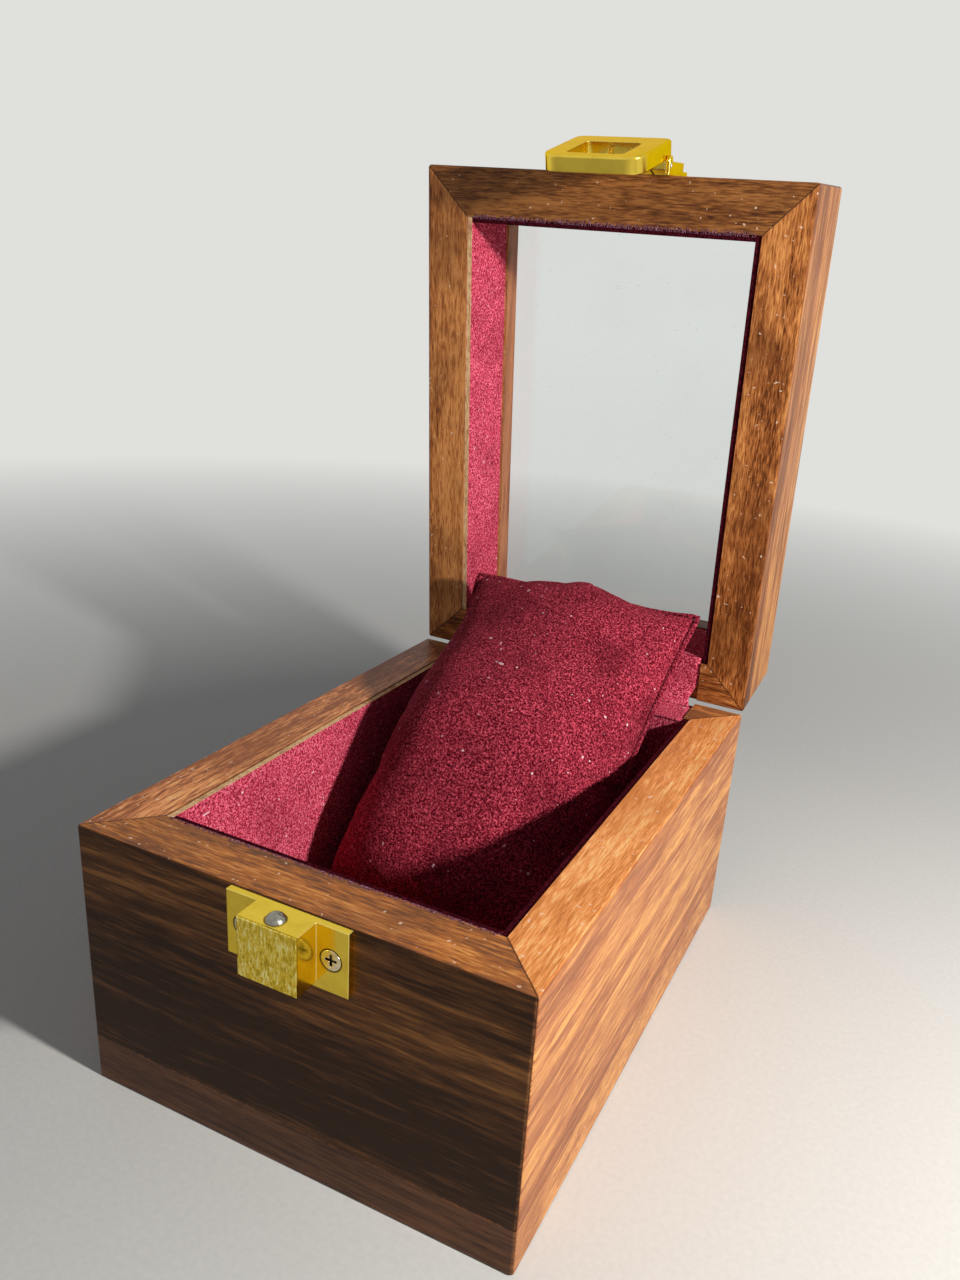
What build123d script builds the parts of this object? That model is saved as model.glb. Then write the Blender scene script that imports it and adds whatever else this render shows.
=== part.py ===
"""Pocket watch display box: a mitred wooden base and a glazed wooden lid on two butt hinges,
lined with cloth-covered boards, with a loop-and-ball catch at the front and a watch pillow inside.

Millimetres. Z is up, the front is -Y. The origin is the middle of the underside of the base.
The lid is drawn standing open on its hinges, as the box is displayed.
"""

import os
from math import cos, radians, sin, tan

from build123d import *

# ---- driving dimensions ----------------------------------------------------------------------
box_width = 86.0
box_depth = 113.4
base_height = 53.4
lid_height = 24.0
wall = 9.9
corner_radius = 0.7
edge_radius = 0.45
bottom_thickness = 9.5
liner_thickness = 1.2
liner_gap = 0.05
liner_set_back = 0.25
rim_gap = 0.3
lid_opening = 85.5

# glass and its rebate
glass_thickness = 2.0
glass_lip_depth = 4.9
glass_side_gap = 0.3
glass_face_gap = 0.05

# hinges
hinge_spacing = 40.0
hinge_length = 16.0
hinge_leaf_width = 7.6
hinge_leaf_thickness = 0.8
hinge_barrel_radius = 1.25
hinge_pin_radius = 0.6
hinge_arm_overlap = 1.0
hinge_offset = 0.3
hinge_middle_knuckle = 7.8
hinge_knuckle_gap = 0.1
hinge_running_fit = 0.05
hinge_seat_gap = 0.1
hinge_groove_gap = 0.2
hinge_screw_pitch = 9.0
hinge_screw_inset = 3.1

# cloth over the rear rims, which hides the hinge leaves
cloth_thickness = 0.6
cloth_recess = 0.9
cloth_side_inset = 1.6
cloth_end_gap = 0.2
cloth_hinge_gap = 0.3

# small countersunk screws
screw_head_radius = 1.8
screw_head_height = 0.85
screw_shank_radius = 0.9
screw_length = 8.0
screw_slot_length = 2.1
screw_slot_width = 0.5
screw_slot_depth = 0.55
screw_gap = 0.04
hinge_screw_head_radius = 1.3
hinge_screw_head_height = 0.65
hinge_screw_shank_radius = 0.65
hinge_screw_length = 6.0

# catch on the base: a plate with a block that holds a sprung ball
catch_offset = 1.3
catch_plate_width = 22.8
catch_plate_height = 11.7
catch_plate_thickness = 1.2
catch_drop = 0.2
catch_edge_radius = 0.25
catch_screw_pitch = 16.4
block_width = 11.1
block_height = 10.7
block_depth = 5.9
ball_radius = 1.8
ball_rise = 1.1
ball_stand_off = 3.55
ball_fit = 0.04
spring_radius = 1.45
spring_wire = 0.2
spring_turns = 4
spring_end_gap = 0.05
plug_length = 1.5
plug_gap = 0.01

# latch on the lid: a channel with two ears, and a loop that turns on two short pins
mount_width = 22.8
mount_height = 11.7
mount_thickness = 1.0
mount_flange_thickness = 0.7
mount_flange_height = 2.6
mount_flange_length = 8.9
mount_rise = 0.2
mount_screw_pitch = 14.0
mount_screw_inset = 3.4
latch_pivot_height = 1.9
latch_pivot_rise = 1.0
latch_ear_radius = 1.0
latch_ear_top = 3.65
latch_pin_radius = 0.55
latch_pin_length = 3.3
latch_pin_fit = 0.04
latch_sag = 13.4
loop_side_gap = 0.15
loop_thickness = 3.15
loop_mount_gap = 0.3
loop_bar = 2.4
loop_tail = 4.2
loop_block_gap = 0.6
loop_ball_gap = 0.35
loop_near_corner = 3.8
loop_far_corner = 2.2
loop_window_corner = 1.2
loop_edge_radius = 0.5
loop_lip = 0.65
loop_knuckle_radius = 0.75
loop_knuckle_bite = 0.5
keeper_radius = 1.78
keeper_depth = 1.6

# pillow: its size from ear to ear, how far its sides pull in, and how far each layer is in from the seam
pillow_width = 56.4
pillow_length = 86.0
pillow_thickness = 21.0
pillow_lean = 48.0
pillow_slant = 4.1
pillow_gap = 0.6
pillow_foot_lift = 1.65
pillow_side_pull = 1.9
pillow_end_pull = 1.5
pillow_shoulder_height = 5.5
pillow_shoulder_inset = 3.2
pillow_face_inset = 10.5

# ---- frames ----------------------------------------------------------------------------------


def opened(origin, angle):
    """A frame that was upright when shut and has been turned back about X by an angle."""
    return Plane(
        origin=origin,
        x_dir=(1, 0, 0),
        z_dir=(0, sin(radians(angle)), cos(radians(angle))),
    )


def plane_in(frame, x=0, y=0, z=0, facing="z"):
    """A sketching plane at a point of a frame. It faces up the frame's Z, along its X, or out along -Y."""
    origin = frame.from_local_coords(Vector(x, y, z))
    if facing == "x":
        return Plane(origin=origin, x_dir=frame.y_dir, z_dir=frame.x_dir)
    if facing == "front":
        return Plane(origin=origin, x_dir=frame.x_dir, z_dir=-frame.y_dir)
    return Plane(origin=origin, x_dir=frame.x_dir, z_dir=frame.z_dir)


base = Plane.XY
hinge_axis = (0, box_depth / 2 + hinge_offset, base_height + rim_gap / 2)
lid_hinge = opened(hinge_axis, lid_opening)
lid = plane_in(lid_hinge, y=-(box_depth / 2 + hinge_offset), z=rim_gap / 2)

inner_half_width = box_width / 2 - wall
inner_half_depth = box_depth / 2 - wall
cloth_half_width = inner_half_width - cloth_side_inset
lined_half_width = inner_half_width - liner_gap - liner_thickness
lined_half_depth = inner_half_depth - liner_gap - liner_thickness
glass_top = lid_height - glass_lip_depth
glass_bottom = glass_top - glass_thickness
floor_top = bottom_thickness + liner_gap + liner_thickness

os.makedirs("parts", exist_ok=True)
sides = {"front": -90, "right": 0, "rear": 90, "left": 180}


def save(builder, name, label=None):
    builder.part.label = label or name
    export_step(builder.part, f"parts/{name}.step")


def rim_profile(thickness):
    """The plan of a frame of walls of one thickness round the box."""
    RectangleRounded(box_width, box_depth, corner_radius)
    Rectangle(
        box_width - 2 * thickness, box_depth - 2 * thickness, mode=Mode.SUBTRACT
    )


def keep_side(frame, side):
    """Cuts a closed frame of walls down its mitres and keeps the wall on one side."""
    angle = radians(sides[side])
    towards = frame.x_dir * cos(angle) + frame.y_dir * sin(angle)
    along = frame.x_dir * -sin(angle) + frame.y_dir * cos(angle)
    half_length = box_depth / 2 if side in ("left", "right") else box_width / 2
    half_other = box_width / 2 if side in ("left", "right") else box_depth / 2
    for end in (-1, 1):
        corner = frame.origin + towards * half_other + along * (end * half_length)
        mitre = Plane(origin=corner, z_dir=towards - along * end)
        split(bisect_by=mitre, keep=Keep.TOP)


def rear_rim_cuts(frame, up, rim):
    """The recess for the hinge cloth, the leaf seats, the barrel grooves and the screw pilots in a rear wall.

    up is the side of the rim that the wood is on: -1 in the base, 1 in the lid.
    """
    with BuildSketch(plane_in(frame, y=box_depth / 2, z=rim)) as shape:
        Rectangle(2 * cloth_half_width, 4 * wall)
    extrude(shape.sketch, amount=up * cloth_recess, mode=Mode.SUBTRACT)
    leaf_floor = rim + up * (cloth_recess + hinge_leaf_thickness)
    for x in (-hinge_spacing / 2, hinge_spacing / 2):
        with BuildSketch(plane_in(frame, x, box_depth / 2, rim)) as shape:
            Rectangle(
                hinge_length + 2 * hinge_seat_gap,
                2 * (hinge_leaf_width + hinge_seat_gap),
            )
        extrude(
            shape.sketch,
            amount=up * (cloth_recess + hinge_leaf_thickness), mode=Mode.SUBTRACT
        )
        start = x - hinge_length / 2 - hinge_groove_gap
        groove = plane_in(
            frame, start, box_depth / 2 + hinge_offset, rim - up * rim_gap / 2, "x"
        )
        with BuildSketch(groove) as shape:
            Circle(hinge_barrel_radius + hinge_groove_gap)
        extrude(
            shape.sketch,
            amount=hinge_length + 2 * hinge_groove_gap,
            mode=Mode.SUBTRACT,
        )
        for screw_x in (x - hinge_screw_pitch / 2, x + hinge_screw_pitch / 2):
            y = box_depth / 2 - hinge_leaf_width + hinge_screw_inset
            with BuildSketch(plane_in(frame, screw_x, y, leaf_floor)) as shape:
                Circle(hinge_screw_shank_radius + screw_gap)
            extrude(shape.sketch, amount=up * hinge_screw_length, mode=Mode.SUBTRACT)


def turned(plane, *profile, mode=Mode.ADD):
    """A solid of revolution about a plane's normal, from points of (radius, height over the plane)."""
    section = Plane(origin=plane.origin, x_dir=plane.x_dir, z_dir=-plane.y_dir)
    with BuildSketch(section) as shape:
        with BuildLine():
            Polyline(*profile, close=True)
        make_face()
    axis = Axis(plane.origin, plane.z_dir)
    revolve(shape.sketch, axis, mode=mode)


def screw(plane, head_radius, head_height, shank_radius, length):
    """A countersunk screw whose head is flush with a plane that faces out of the work."""
    turned(
        plane,
        (0, 0),
        (head_radius, 0),
        (shank_radius, -head_height),
        (shank_radius, -length),
        (0, -length),
    )


def cross_slot(plane, length, width, depth):
    """The cross in a screw's head."""
    with BuildSketch(plane) as shape:
        Rectangle(length, width)
        Rectangle(width, length)
    extrude(shape.sketch, amount=-depth, mode=Mode.SUBTRACT)


def screw_seat(plane, head_radius, head_height, shank_radius, through):
    """The countersunk hole for such a screw in a plate."""
    turned(
        plane,
        (0, 0),
        (head_radius + screw_gap, 0),
        (shank_radius + screw_gap, -head_height),
        (shank_radius + screw_gap, -through),
        (0, -through),
        mode=Mode.SUBTRACT,
    )


# ---- base walls and bottom -------------------------------------------------------------------

catch_top = base_height - catch_drop
catch_middle = catch_top - catch_plate_height / 2
catch_screws_x = (
    catch_offset - catch_screw_pitch / 2,
    catch_offset + catch_screw_pitch / 2,
)

for side in sides:
    with BuildPart() as base_wall:
        with BuildSketch(base.offset(bottom_thickness)):
            rim_profile(wall)
        extrude(amount=base_height - bottom_thickness)
        top_edges = base_wall.faces().sort_by(Axis.Z)[-1].outer_wire().edges()
        fillet(top_edges, edge_radius)
        keep_side(base, side)
        if side == "rear":
            rear_rim_cuts(base, -1, base_height)
        if side == "front":
            for x in catch_screws_x:
                with BuildSketch(
                    plane_in(base, x, -box_depth / 2, catch_middle, "front")
                ):
                    Circle(screw_shank_radius + screw_gap)
                extrude(amount=-screw_length, mode=Mode.SUBTRACT)
    save(base_wall, f"base_{side}_wall")

with BuildPart() as base_bottom_board:
    with BuildSketch(base):
        RectangleRounded(box_width, box_depth, corner_radius)
    extrude(amount=bottom_thickness)
    fillet(base_bottom_board.faces().sort_by(Axis.Z)[0].edges(), edge_radius)
save(base_bottom_board, "base_bottom_board")

# ---- lid walls and glass ---------------------------------------------------------------------

mount_middle = mount_rise + mount_height - mount_screw_inset
mount_screws_x = (
    catch_offset - mount_screw_pitch / 2,
    catch_offset + mount_screw_pitch / 2,
)

for side in sides:
    with BuildPart() as lid_wall:
        with BuildSketch(lid):
            rim_profile(wall)
        extrude(amount=lid_height)
        with BuildSketch(lid.offset(glass_top)):
            rim_profile(wall + liner_gap + liner_thickness)
        extrude(amount=glass_lip_depth)
        ends = lid_wall.faces().sort_by(Axis(lid.origin, lid.z_dir))
        fillet(
            ends[0].outer_wire().edges() + ends[-1].outer_wire().edges(), edge_radius
        )
        keep_side(lid, side)
        if side == "rear":
            rear_rim_cuts(lid, 1, 0)
        if side == "front":
            for x in mount_screws_x:
                with BuildSketch(
                    plane_in(lid, x, -box_depth / 2, mount_middle, "front")
                ):
                    Circle(screw_shank_radius + screw_gap)
                extrude(amount=-screw_length, mode=Mode.SUBTRACT)
    save(lid_wall, f"lid_{side}_wall")

with BuildPart() as lid_glass:
    with BuildSketch(lid.offset(glass_bottom)):
        Rectangle(
            2 * (inner_half_width - glass_side_gap),
            2 * (inner_half_depth - glass_side_gap),
        )
    extrude(amount=glass_thickness - glass_face_gap)
save(lid_glass, "lid_glass")

# ---- liner boards ----------------------------------------------------------------------------


def liner(frame, side, bottom, top):
    """One cloth-covered board against the inside of a wall. The side boards run the full length."""
    if side in ("left", "right"):
        x = (inner_half_width - liner_gap - liner_thickness / 2) * cos(
            radians(sides[side])
        )
        size = (liner_thickness, 2 * (inner_half_depth - liner_gap))
        place = (x, 0)
    else:
        y = (inner_half_depth - liner_gap - liner_thickness / 2) * sin(
            radians(sides[side])
        )
        size = (2 * (lined_half_width - liner_gap), liner_thickness)
        place = (0, y)
    with BuildSketch(plane_in(frame, *place, bottom)) as shape:
        Rectangle(*size)
    extrude(shape.sketch, amount=top - bottom)


for side in sides:
    recess = cloth_recess if side == "rear" else liner_set_back
    with BuildPart() as base_liner:
        liner(base, side, floor_top + liner_gap, base_height - recess)
    save(base_liner, f"base_{side}_liner")
    with BuildPart() as lid_liner:
        liner(lid, side, recess, glass_bottom - glass_face_gap)
    save(lid_liner, f"lid_{side}_liner")

with BuildPart() as base_floor_liner:
    with BuildSketch(base.offset(bottom_thickness + liner_gap)):
        Rectangle(
            2 * (inner_half_width - liner_gap), 2 * (inner_half_depth - liner_gap)
        )
    extrude(amount=liner_thickness)
save(base_floor_liner, "base_floor_liner")

# ---- hinge cloth -----------------------------------------------------------------------------


def rim_cloth(frame, up, rim):
    """The strip of cloth glued over one rear rim, from the lining to just short of the hinge barrels."""
    front = lined_half_depth
    rear = box_depth / 2 + hinge_offset - hinge_barrel_radius - cloth_hinge_gap
    with BuildSketch(
        plane_in(frame, y=(front + rear) / 2, z=rim + up * cloth_recess)
    ) as shape:
        Rectangle(2 * (cloth_half_width - cloth_end_gap), rear - front)
    extrude(shape.sketch, amount=-up * cloth_thickness)


with BuildPart() as base_hinge_cloth:
    rim_cloth(base, -1, base_height)
save(base_hinge_cloth, "base_hinge_cloth")

with BuildPart() as lid_hinge_cloth:
    rim_cloth(lid, 1, 0)
save(lid_hinge_cloth, "lid_hinge_cloth")

# ---- hinges ----------------------------------------------------------------------------------

hinge_xs = (-hinge_spacing / 2, hinge_spacing / 2)
outer_knuckle = (hinge_length - hinge_middle_knuckle) / 2 - hinge_knuckle_gap


def hinge_leaf(frame, up, rim, x, knuckles, bore_radius):
    """A leaf let into a rear rim, with its screw seats and its knuckles round the pin.

    knuckles is a list of (start, length) along X from the middle of the hinge.
    """
    top = rim + up * cloth_recess
    leaf_rear = hinge_offset - hinge_barrel_radius - hinge_groove_gap
    axis_z = rim - up * rim_gap / 2
    with BuildSketch(
        plane_in(frame, x, box_depth / 2 + (leaf_rear - hinge_leaf_width) / 2, top)
    ) as shape:
        Rectangle(hinge_length, hinge_leaf_width + leaf_rear)
    extrude(shape.sketch, amount=up * hinge_leaf_thickness)
    for start, length in knuckles:
        arm = plane_in(
            frame,
            x + start + length / 2,
            box_depth / 2 + (leaf_rear - hinge_arm_overlap + hinge_offset) / 2,
            top,
        )
        with BuildSketch(arm) as shape:
            Rectangle(length, hinge_offset - leaf_rear + hinge_arm_overlap)
        extrude(shape.sketch, amount=up * hinge_leaf_thickness)
        barrel = plane_in(
            frame, x + start, box_depth / 2 + hinge_offset, axis_z, "x"
        )
        with BuildSketch(barrel) as shape:
            Circle(hinge_barrel_radius)
        extrude(shape.sketch, amount=length)
    through = plane_in(
        frame,
        x - hinge_length / 2,
        box_depth / 2 + hinge_offset,
        axis_z,
        "x",
    )
    with BuildSketch(through) as shape:
        Circle(bore_radius)
    extrude(shape.sketch, amount=hinge_length, mode=Mode.SUBTRACT)
    for screw_x in (x - hinge_screw_pitch / 2, x + hinge_screw_pitch / 2):
        screw_seat(
            hinge_screw_plane(frame, up, rim, screw_x),
            hinge_screw_head_radius,
            hinge_screw_head_height,
            hinge_screw_shank_radius,
            hinge_leaf_thickness,
        )


def hinge_screw_plane(frame, up, rim, screw_x):
    """The plane of a hinge screw's head, facing out of the wood."""
    y = box_depth / 2 - hinge_leaf_width + hinge_screw_inset
    plane = plane_in(frame, screw_x, y, rim + up * cloth_recess)
    return plane if up < 0 else Plane(plane.origin, plane.x_dir, -plane.z_dir)


def hinge_screws(frame, up, rim):
    for x in hinge_xs:
        for screw_x in (x - hinge_screw_pitch / 2, x + hinge_screw_pitch / 2):
            screw(
                hinge_screw_plane(frame, up, rim, screw_x),
                hinge_screw_head_radius,
                hinge_screw_head_height,
                hinge_screw_shank_radius,
                hinge_screw_length,
            )


outer_knuckles = [
    (-hinge_length / 2, outer_knuckle),
    (hinge_length / 2 - outer_knuckle, outer_knuckle),
]
middle_knuckles = [(-hinge_middle_knuckle / 2, hinge_middle_knuckle)]

with BuildPart() as base_hinge_leaves:
    for x in hinge_xs:
        hinge_leaf(
            base, -1, base_height, x, outer_knuckles, hinge_pin_radius + plug_gap
        )
save(base_hinge_leaves, "base_hinge_leaves")

with BuildPart() as lid_hinge_leaves:
    for x in hinge_xs:
        hinge_leaf(
            lid, 1, 0, x, middle_knuckles, hinge_pin_radius + hinge_running_fit
        )
save(lid_hinge_leaves, "lid_hinge_leaves")

with BuildPart() as hinge_pins:
    for x in hinge_xs:
        pin = plane_in(
            base, x - hinge_length / 2, hinge_axis[1], hinge_axis[2], "x"
        )
        with BuildSketch(pin):
            Circle(hinge_pin_radius)
        extrude(amount=hinge_length)
save(hinge_pins, "hinge_pins")

with BuildPart() as base_hinge_screws:
    hinge_screws(base, -1, base_height)
save(base_hinge_screws, "base_hinge_screws")

with BuildPart() as lid_hinge_screws:
    hinge_screws(lid, 1, 0)
save(lid_hinge_screws, "lid_hinge_screws")

# ---- catch on the base -----------------------------------------------------------------------

catch = plane_in(base, catch_offset, -box_depth / 2, catch_top)
ball_centre = catch.from_local_coords(
    Vector(0, -ball_stand_off, ball_rise - ball_radius)
)

with BuildPart() as catch_body:
    with BuildSketch(plane_in(catch, z=-catch_plate_height / 2, facing="front")):
        Rectangle(catch_plate_width, catch_plate_height)
    extrude(amount=catch_plate_thickness)
    with BuildSketch(plane_in(catch, z=-block_height / 2, facing="front")):
        Rectangle(block_width, block_height)
    extrude(amount=block_depth)
    fronts = catch_body.faces().filter_by(Axis.Y).sort_by(Axis.Y)
    fillet(fronts[0].edges(), catch_edge_radius)
    with Locations(Location(ball_centre)):
        Sphere(ball_radius + ball_fit, mode=Mode.SUBTRACT)
    with BuildSketch(Plane(origin=ball_centre)):
        Circle(ball_radius + ball_fit)
    extrude(amount=-block_height, mode=Mode.SUBTRACT)
    for x in catch_screws_x:
        seat = plane_in(
            base, x, -box_depth / 2 - catch_plate_thickness, catch_middle, "front"
        )
        screw_seat(
            seat,
            screw_head_radius,
            screw_head_height,
            screw_shank_radius,
            catch_plate_thickness,
        )
save(catch_body, "catch_body")

with BuildPart() as catch_ball:
    with Locations(Location(ball_centre)):
        Sphere(ball_radius)
save(catch_ball, "catch_ball")

plug_bottom = plane_in(catch, y=-ball_stand_off, z=-block_height)
with BuildPart() as catch_plug:
    with BuildSketch(plug_bottom):
        Circle(ball_radius + ball_fit - plug_gap)
    extrude(amount=plug_length)
save(catch_plug, "catch_plug")

spring_bottom = plug_length + spring_wire + spring_end_gap
spring_height = (
    block_height
    + ball_rise
    - 2 * ball_radius
    - spring_bottom
    - spring_wire
    - spring_end_gap
)
with BuildPart() as catch_spring:
    with BuildLine(plug_bottom.offset(spring_bottom)):
        coil = Helix(
            pitch=spring_height / spring_turns,
            height=spring_height,
            radius=spring_radius,
        )
    with BuildSketch(Plane(origin=coil @ 0, z_dir=coil % 0)):
        RegularPolygon(spring_wire, 4)
    sweep(is_frenet=True)
save(catch_spring, "catch_spring")

with BuildPart() as catch_screws:
    for x in catch_screws_x:
        head = plane_in(
            base, x, -box_depth / 2 - catch_plate_thickness, catch_middle, "front"
        )
        screw(
            head,
            screw_head_radius,
            screw_head_height,
            screw_shank_radius,
            screw_length,
        )
        cross_slot(head, screw_slot_length, screw_slot_width, screw_slot_depth)
save(catch_screws, "catch_screws")

# ---- latch on the lid ------------------------------------------------------------------------

lid_front = plane_in(lid, catch_offset, -box_depth / 2, 0)
latch_pivot = lid_front.from_local_coords(
    Vector(0, -latch_pivot_height, latch_pivot_rise)
)
latch = opened(latch_pivot, lid_opening - latch_sag)

with BuildPart() as latch_mount:
    with BuildSketch(
        plane_in(lid_front, z=mount_rise + mount_height / 2, facing="front")
    ):
        Rectangle(mount_width, mount_height)
    extrude(amount=mount_thickness)
    for side in (-1, 1):
        flange = plane_in(
            lid_front,
            x=side * mount_width / 2 - (side + 1) / 2 * mount_flange_thickness,
            facing="x",
        )
        with BuildSketch(flange):
            with Locations(
                (-mount_flange_height / 2, mount_rise + mount_flange_length / 2)
            ):
                Rectangle(mount_flange_height, mount_flange_length)
            with Locations(((latch_ear_radius - latch_ear_top) / 2, latch_pivot_rise)):
                Rectangle(latch_ear_top - latch_ear_radius, 2 * latch_ear_radius)
            with Locations((latch_ear_radius - latch_ear_top, latch_pivot_rise)):
                Circle(latch_ear_radius)
            with Locations((-latch_pivot_height, latch_pivot_rise)):
                Circle(latch_pin_radius + latch_pin_fit, mode=Mode.SUBTRACT)
        extrude(amount=mount_flange_thickness)
    for x in mount_screws_x:
        seat = plane_in(
            lid, x, -box_depth / 2 - mount_thickness, mount_middle, "front"
        )
        screw_seat(
            seat,
            screw_head_radius,
            screw_head_height,
            screw_shank_radius,
            mount_thickness,
        )
save(latch_mount, "latch_mount")

with BuildPart() as latch_mount_screws:
    for x in mount_screws_x:
        head = plane_in(
            lid, x, -box_depth / 2 - mount_thickness, mount_middle, "front"
        )
        screw(
            head,
            screw_head_radius,
            screw_head_height,
            screw_shank_radius,
            screw_length,
        )
        cross_slot(head, screw_slot_length, screw_slot_width, screw_slot_depth)
save(latch_mount_screws, "latch_mount_screws")

with BuildPart() as latch_pins:
    for side in (-1, 1):
        inner = side * mount_width / 2 - (side + 1) / 2 * latch_pin_length
        with BuildSketch(plane_in(latch, x=inner, facing="x")):
            Circle(latch_pin_radius)
        extrude(amount=latch_pin_length)
save(latch_pins, "latch_pins")

loop_width = mount_width - 2 * (mount_flange_thickness + loop_side_gap)
loop_back = latch_pivot_height - mount_flange_height - loop_mount_gap
loop_front = loop_back - loop_thickness
block_top = -catch_drop - rim_gap - latch_pivot_rise
window_top = block_top + loop_ball_gap
window_bottom = block_top - block_height - loop_block_gap
window_width = block_width + 2 * loop_block_gap
loop_bottom = window_bottom - loop_bar

with BuildPart() as latch_loop:
    with BuildSketch(
        plane_in(latch, y=loop_front, z=(loop_bottom + loop_tail) / 2, facing="front")
    ) as outline:
        Rectangle(loop_width, loop_tail - loop_bottom)
        near = outline.vertices().sort_by(Axis(latch.origin, latch.z_dir))
        fillet(near[:2], loop_near_corner)
        far = outline.vertices().sort_by(Axis(latch.origin, latch.z_dir))
        fillet(far[-2:], loop_far_corner)
    extrude(amount=-loop_thickness)
    fillet(
        latch_loop.faces().sort_by(Axis(latch.origin, latch.y_dir))[0].edges(),
        loop_edge_radius,
    )
    with BuildSketch(plane_in(latch, x=-loop_width / 2, facing="x")):
        with BuildLine():
            Polyline(
                (loop_back, loop_knuckle_radius),
                (loop_back - loop_knuckle_bite, loop_knuckle_radius),
                (loop_back - loop_knuckle_bite, window_top),
                (loop_lip, window_top),
                (loop_lip, 0),
                (0, loop_knuckle_radius),
                (loop_back, loop_knuckle_radius),
            )
        make_face()
        Circle(loop_knuckle_radius)
    extrude(amount=loop_width)
    with BuildSketch(
        plane_in(
            latch,
            y=loop_front - loop_thickness / 2,
            z=(window_top + window_bottom) / 2,
            facing="front",
        )
    ):
        RectangleRounded(window_width, window_top - window_bottom, loop_window_corner)
    extrude(amount=-2 * loop_thickness, mode=Mode.SUBTRACT)
    with BuildSketch(
        plane_in(latch, y=latch_pivot_height - ball_stand_off, z=window_top)
    ):
        Circle(keeper_radius)
    extrude(amount=keeper_depth, mode=Mode.SUBTRACT)
    for side in (-1, 1):
        inner = side * mount_width / 2 - (side + 1) / 2 * latch_pin_length
        with BuildSketch(plane_in(latch, x=inner, facing="x")):
            Circle(latch_pin_radius + latch_pin_fit)
        extrude(amount=latch_pin_length, mode=Mode.SUBTRACT)
save(latch_loop, "latch_loop")

# ---- pillow ----------------------------------------------------------------------------------


def pillow_outline():
    """The pillow's seam: four ears, with the sides pulled in between them."""
    across, along = pillow_width / 2, pillow_length / 2
    quarter = [
        (0, along - pillow_end_pull),
        (across, along),
        (across - pillow_side_pull, along / 3),
    ]
    right = quarter + [(x, -y) for x, y in reversed(quarter)]
    left = [(-x, y) for x, y in reversed(right[1:-1])]
    slant = tan(radians(pillow_slant))
    return [(x + slant * y, y) for x, y in right + left]


def inset_outline(points, inset):
    """The outline moved in by an inset, each side staying parallel to itself. Points run clockwise."""
    moved = []
    for before, point, after in zip(points[-1:] + points[:-1], points, points[1:] + points[:1]):
        arriving = (Vector(*point) - Vector(*before)).normalized()
        leaving = (Vector(*after) - Vector(*point)).normalized()
        inward = (arriving + leaving).rotate(Axis.Z, -90)
        shift = inward * (inset / (1 + arriving.dot(leaving)))
        moved.append((point[0] + shift.X, point[1] + shift.Y))
    return moved


# It stands on the floor liner and leans back on the top edge of the rear wall.
lean = radians(pillow_lean)
foot_z = floor_top + pillow_gap + pillow_foot_lift
edge_y, edge_z = lined_half_depth, base_height - cloth_recess + cloth_thickness
half_thickness = pillow_thickness / 2 + pillow_gap
foot_y = edge_y - (half_thickness + (edge_z - foot_z) * cos(lean)) / sin(lean)
pillow_middle = (
    0,
    foot_y + pillow_length / 2 * cos(lean),
    foot_z + pillow_length / 2 * sin(lean),
)
pillow_frame = Plane(
    origin=pillow_middle, x_dir=(1, 0, 0), z_dir=(0, -sin(lean), cos(lean))
)
pillow_layers = (
    (-pillow_thickness / 2, pillow_face_inset),
    (-pillow_shoulder_height, pillow_shoulder_inset),
    (0, 0),
    (pillow_shoulder_height, pillow_shoulder_inset),
    (pillow_thickness / 2, pillow_face_inset),
)
with BuildPart() as pillow:
    for height, inset in pillow_layers:
        with BuildSketch(pillow_frame.offset(height)):
            with BuildLine():
                Polyline(*inset_outline(pillow_outline(), inset), close=True)
            make_face()
    loft(ruled=True)
save(pillow, "pillow")
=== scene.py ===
"""A pocket watch display box: materials, soft pieces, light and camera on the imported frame."""

import math
import random

import bpy
from mathutils import Matrix, Vector, noise


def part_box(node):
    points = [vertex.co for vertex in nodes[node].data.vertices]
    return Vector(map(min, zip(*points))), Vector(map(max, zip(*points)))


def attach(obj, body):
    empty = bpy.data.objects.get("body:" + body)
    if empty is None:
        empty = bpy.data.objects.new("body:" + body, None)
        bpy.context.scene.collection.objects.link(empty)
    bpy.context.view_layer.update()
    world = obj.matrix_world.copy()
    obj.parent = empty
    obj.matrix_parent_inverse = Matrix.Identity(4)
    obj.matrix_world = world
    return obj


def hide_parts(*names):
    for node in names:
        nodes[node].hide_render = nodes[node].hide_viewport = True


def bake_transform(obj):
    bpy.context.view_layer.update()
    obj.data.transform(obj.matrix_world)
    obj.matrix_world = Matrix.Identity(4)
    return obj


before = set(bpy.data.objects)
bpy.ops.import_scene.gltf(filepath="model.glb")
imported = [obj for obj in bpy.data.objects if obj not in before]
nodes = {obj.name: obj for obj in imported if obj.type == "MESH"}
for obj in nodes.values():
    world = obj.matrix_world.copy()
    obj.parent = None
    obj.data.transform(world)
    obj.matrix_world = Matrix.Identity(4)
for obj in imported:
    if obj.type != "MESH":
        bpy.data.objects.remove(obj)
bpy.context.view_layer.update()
MM = 0.001
rng = random.Random(7)

# ---- places and directions ---------------------------------------------------------------------

HINGE = Vector((0, 57.0, 53.55)) * MM
LID_TILT = math.radians(85.5)  # how far open the lid stands at rest
ACROSS = Vector((1, 0, 0))
UP_LID = Vector((0, -math.cos(LID_TILT), math.sin(LID_TILT)))
INTO_LID = Vector((0, math.sin(LID_TILT), math.cos(LID_TILT)))
HALF_WIDTH, HALF_LENGTH = 43 * MM, 56.7 * MM  # of the frame of walls


def corners(name):
    """The low and the high corner of a node's box."""
    low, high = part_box(name)
    return Vector(low), Vector(high)


# ---- camera ------------------------------------------------------------------------------------

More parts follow.
